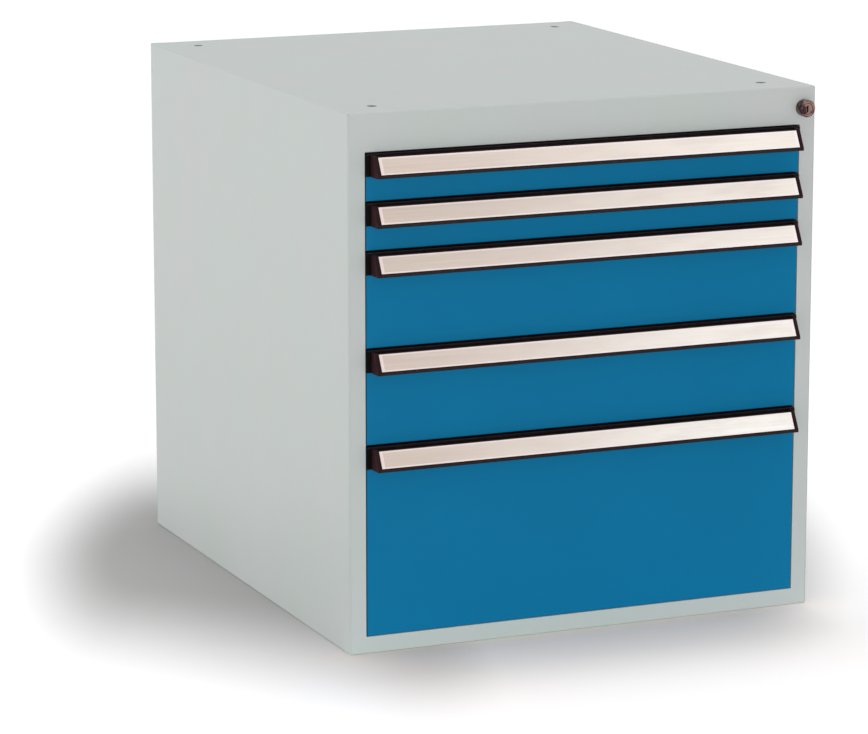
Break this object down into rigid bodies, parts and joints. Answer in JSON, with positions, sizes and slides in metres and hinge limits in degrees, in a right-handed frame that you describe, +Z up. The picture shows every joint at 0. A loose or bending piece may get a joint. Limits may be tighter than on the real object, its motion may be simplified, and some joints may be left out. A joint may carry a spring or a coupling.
{
  "type": "drawer cabinet",
  "caption": "Sheet-steel under-bench cabinet with full-extension drawers of graded heights, full-width grip bars with label strips, a central lock and fixing holes in the top.",
  "frame": {"origin": "middle of the base, on the surface that the cabinet stands on", "axes": "+Z up, the drawers face and open towards -Y, +X to the right as seen from the front"},
  "size_m": [0.525, 0.6206, 0.558],
  "materials": {
    "case_paint": "light grey powder coat, fine texture",
    "front_paint": "blue powder coat, fine texture",
    "tray_paint": "light grey powder coat, smooth",
    "zinc_steel": "bright zinc plate",
    "grip_black": "black anodised extrusion",
    "cap_black": "moulded, fine grain",
    "strip_aluminium": "warm brushed face",
    "lock_chrome": "polished"
  },
  "bodies": {
    "case": {"front_frame": "case_paint", "side_left": "case_paint", "side_right": "case_paint", "back_panel": "case_paint", "top_panel": "case_paint", "base_panel": "case_paint", "top_doublers": "case_paint", "rear_uprights": "zinc_steel", "slide_outer_members": "zinc_steel", "slide_screws": "zinc_steel", "lock_housing": "lock_chrome", "lock_nut": "zinc_steel", "lock_bar_guides": "zinc_steel"},
    "drawer_1": {"drawer_1_tray": "tray_paint", "drawer_1_front": "front_paint", "drawer_1_screws": "zinc_steel", "drawer_1_grip": "grip_black", "drawer_1_grip_caps": "cap_black", "drawer_1_label_strip": "strip_aluminium", "drawer_1_slide_inner": "zinc_steel"},
    "slide_1": {"drawer_1_slide_middle": "zinc_steel"},
    "drawer_2": {"drawer_2_tray": "tray_paint", "drawer_2_front": "front_paint", "drawer_2_screws": "zinc_steel", "drawer_2_grip": "grip_black", "drawer_2_grip_caps": "cap_black", "drawer_2_label_strip": "strip_aluminium", "drawer_2_slide_inner": "zinc_steel"},
    "slide_2": {"drawer_2_slide_middle": "zinc_steel"},
    "drawer_3": {"drawer_3_tray": "tray_paint", "drawer_3_front": "front_paint", "drawer_3_screws": "zinc_steel", "drawer_3_grip": "grip_black", "drawer_3_grip_caps": "cap_black", "drawer_3_label_strip": "strip_aluminium", "drawer_3_slide_inner": "zinc_steel"},
    "slide_3": {"drawer_3_slide_middle": "zinc_steel"},
    "drawer_4": {"drawer_4_tray": "tray_paint", "drawer_4_front": "front_paint", "drawer_4_screws": "zinc_steel", "drawer_4_grip": "grip_black", "drawer_4_grip_caps": "cap_black", "drawer_4_label_strip": "strip_aluminium", "drawer_4_slide_inner": "zinc_steel"},
    "slide_4": {"drawer_4_slide_middle": "zinc_steel"},
    "drawer_5": {"drawer_5_tray": "tray_paint", "drawer_5_front": "front_paint", "drawer_5_screws": "zinc_steel", "drawer_5_grip": "grip_black", "drawer_5_grip_caps": "cap_black", "drawer_5_label_strip": "strip_aluminium", "drawer_5_slide_inner": "zinc_steel"},
    "slide_5": {"drawer_5_slide_middle": "zinc_steel"},
    "lock_plug": {"lock_plug": "lock_chrome", "lock_cam": "zinc_steel"},
    "lock_bar": {"lock_bar": "zinc_steel"}
  },
  "joints": [
    {"name": "drawer_1_travel", "type": "slide", "parent": "case", "child": "drawer_1", "axis": [0, -1, 0], "range_m": [0, 0.5]},
    {"name": "slide_1_travel", "type": "slide", "parent": "case", "child": "slide_1", "axis": [0, -1, 0], "range_m": [0, 0.25]},
    {"name": "drawer_2_travel", "type": "slide", "parent": "case", "child": "drawer_2", "axis": [0, -1, 0], "range_m": [0, 0.5]},
    {"name": "slide_2_travel", "type": "slide", "parent": "case", "child": "slide_2", "axis": [0, -1, 0], "range_m": [0, 0.25]},
    {"name": "drawer_3_travel", "type": "slide", "parent": "case", "child": "drawer_3", "axis": [0, -1, 0], "range_m": [0, 0.5]},
    {"name": "slide_3_travel", "type": "slide", "parent": "case", "child": "slide_3", "axis": [0, -1, 0], "range_m": [0, 0.25]},
    {"name": "drawer_4_travel", "type": "slide", "parent": "case", "child": "drawer_4", "axis": [0, -1, 0], "range_m": [0, 0.5]},
    {"name": "slide_4_travel", "type": "slide", "parent": "case", "child": "slide_4", "axis": [0, -1, 0], "range_m": [0, 0.25]},
    {"name": "drawer_5_travel", "type": "slide", "parent": "case", "child": "drawer_5", "axis": [0, -1, 0], "range_m": [0, 0.5]},
    {"name": "slide_5_travel", "type": "slide", "parent": "case", "child": "slide_5", "axis": [0, -1, 0], "range_m": [0, 0.25]},
    {"name": "lock_turn", "type": "hinge", "parent": "case", "child": "lock_plug", "pos_m": [0.2485, -0.3, 0.5355], "axis": [0, -1, 0], "range_deg": [0, 90]},
    {"name": "lock_bar_lift", "type": "slide", "parent": "case", "child": "lock_bar", "axis": [0, 0, 1], "range_m": [0, 0.006]}
  ],
  "couplings": [
    {"joint": "slide_1_travel", "follows": "drawer_1_travel", "ratio": 0.5},
    {"joint": "slide_2_travel", "follows": "drawer_2_travel", "ratio": 0.5},
    {"joint": "slide_3_travel", "follows": "drawer_3_travel", "ratio": 0.5},
    {"joint": "slide_4_travel", "follows": "drawer_4_travel", "ratio": 0.5},
    {"joint": "slide_5_travel", "follows": "drawer_5_travel", "ratio": 0.5},
    {"joint": "lock_turn", "follows": "lock_bar_lift", "rad_per_m": 261.96}
  ]
}
